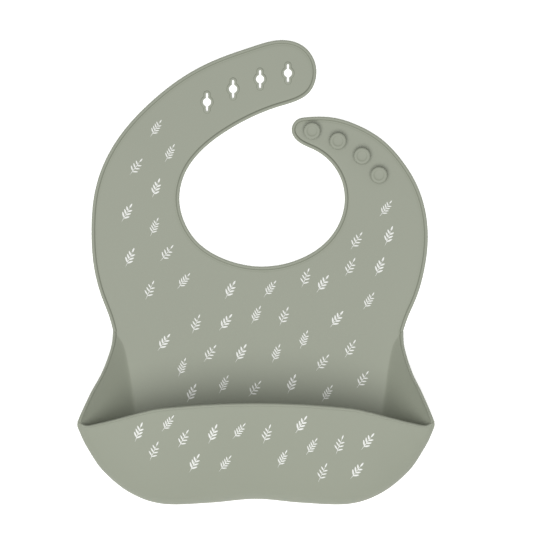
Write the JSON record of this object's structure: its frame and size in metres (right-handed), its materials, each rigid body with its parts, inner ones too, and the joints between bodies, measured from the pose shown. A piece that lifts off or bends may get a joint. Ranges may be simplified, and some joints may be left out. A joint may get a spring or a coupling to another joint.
{
  "type": "silicone bib",
  "caption": "Soft silicone feeding bib with a catch pocket, folded-up side wings, a raised edge bead and two neck straps that close with buttons.",
  "frame": {"origin": "under the middle of the bounding box, on the resting back face", "axes": "+Z out of the front face, +Y towards the neck straps, +X to the right of someone looking at the front"},
  "size_m": [0.2315, 0.3011, 0.0509],
  "materials": {
    "silicone": "matte moulded silicone, sage grey-green"
  },
  "bodies": {
    "body": {"lower_panel": "silicone", "wing_left": "silicone", "wing_right": "silicone", "pocket_floor": "silicone", "pocket_corner_left": "silicone", "pocket_corner_right": "silicone"},
    "pocket_front": {"pocket_front": "silicone"},
    "chest": {"upper_panel": "silicone"},
    "long_strap_a": {"long_strap_1": "silicone"},
    "long_strap_b": {"long_strap_2": "silicone", "hole_collar_1": "silicone"},
    "long_strap_c": {"long_strap_3": "silicone", "hole_collar_2": "silicone", "hole_collar_3": "silicone", "hole_collar_4": "silicone"},
    "short_strap_a": {"short_strap_1": "silicone", "stud_4": "silicone"},
    "short_strap_b": {"short_strap_2": "silicone", "stud_2": "silicone", "stud_3": "silicone"},
    "short_strap_c": {"short_strap_3": "silicone", "stud_1": "silicone"}
  },
  "joints": [
    {"name": "chest_fold", "type": "hinge", "parent": "body", "child": "chest", "pos_m": [0, -0.0327, 0.0009], "axis": [1, 0, 0], "range_deg": [-80, 90], "stiffness_Nm_per_rad": 0.05},
    {"name": "pocket_flex", "type": "hinge", "parent": "body", "child": "pocket_front", "pos_m": [0, -0.1475, 0.0178], "axis": [1, 0, 0], "range_deg": [-12, 10], "stiffness_Nm_per_rad": 0.3},
    {"name": "long_strap_curl", "type": "hinge", "parent": "chest", "child": "long_strap_a", "pos_m": [-0.06946, 0.06269, 0.0009], "axis": [0.9781, -0.2079, 0], "range_deg": [-35, 35], "stiffness_Nm_per_rad": 0.02},
    {"name": "long_strap_curl_2", "type": "hinge", "parent": "long_strap_a", "child": "long_strap_b", "pos_m": [-0.0527, 0.0963, 0.0009], "axis": [0.7547, -0.6561, 0], "range_deg": [-35, 35], "stiffness_Nm_per_rad": 0.02},
    {"name": "long_strap_curl_3", "type": "hinge", "parent": "long_strap_b", "child": "long_strap_c", "pos_m": [-0.0242, 0.11664, 0.0009], "axis": [0.3746, -0.9272, 0], "range_deg": [-35, 35], "stiffness_Nm_per_rad": 0.02},
    {"name": "short_strap_curl", "type": "hinge", "parent": "chest", "child": "short_strap_a", "pos_m": [0.07849, 0.03926, 0.0009], "axis": [0.9945, -0.1045, 0], "range_deg": [-35, 35], "stiffness_Nm_per_rad": 0.02},
    {"name": "short_strap_curl_2", "type": "hinge", "parent": "short_strap_a", "child": "short_strap_b", "pos_m": [0.07523, 0.07028, 0.0009], "axis": [0.9511, 0.309, 0], "range_deg": [-35, 35], "stiffness_Nm_per_rad": 0.02},
    {"name": "short_strap_curl_3", "type": "hinge", "parent": "short_strap_b", "child": "short_strap_c", "pos_m": [0.056, 0.10105, 0.0009], "axis": [0.6947, 0.7193, 0], "range_deg": [-35, 35], "stiffness_Nm_per_rad": 0.02}
  ],
  "couplings": [
    {"joint": "long_strap_curl_2", "follows": "long_strap_curl", "ratio": 1},
    {"joint": "long_strap_curl_3", "follows": "long_strap_curl", "ratio": 1},
    {"joint": "short_strap_curl_2", "follows": "short_strap_curl", "ratio": 1},
    {"joint": "short_strap_curl_3", "follows": "short_strap_curl", "ratio": 1}
  ]
}
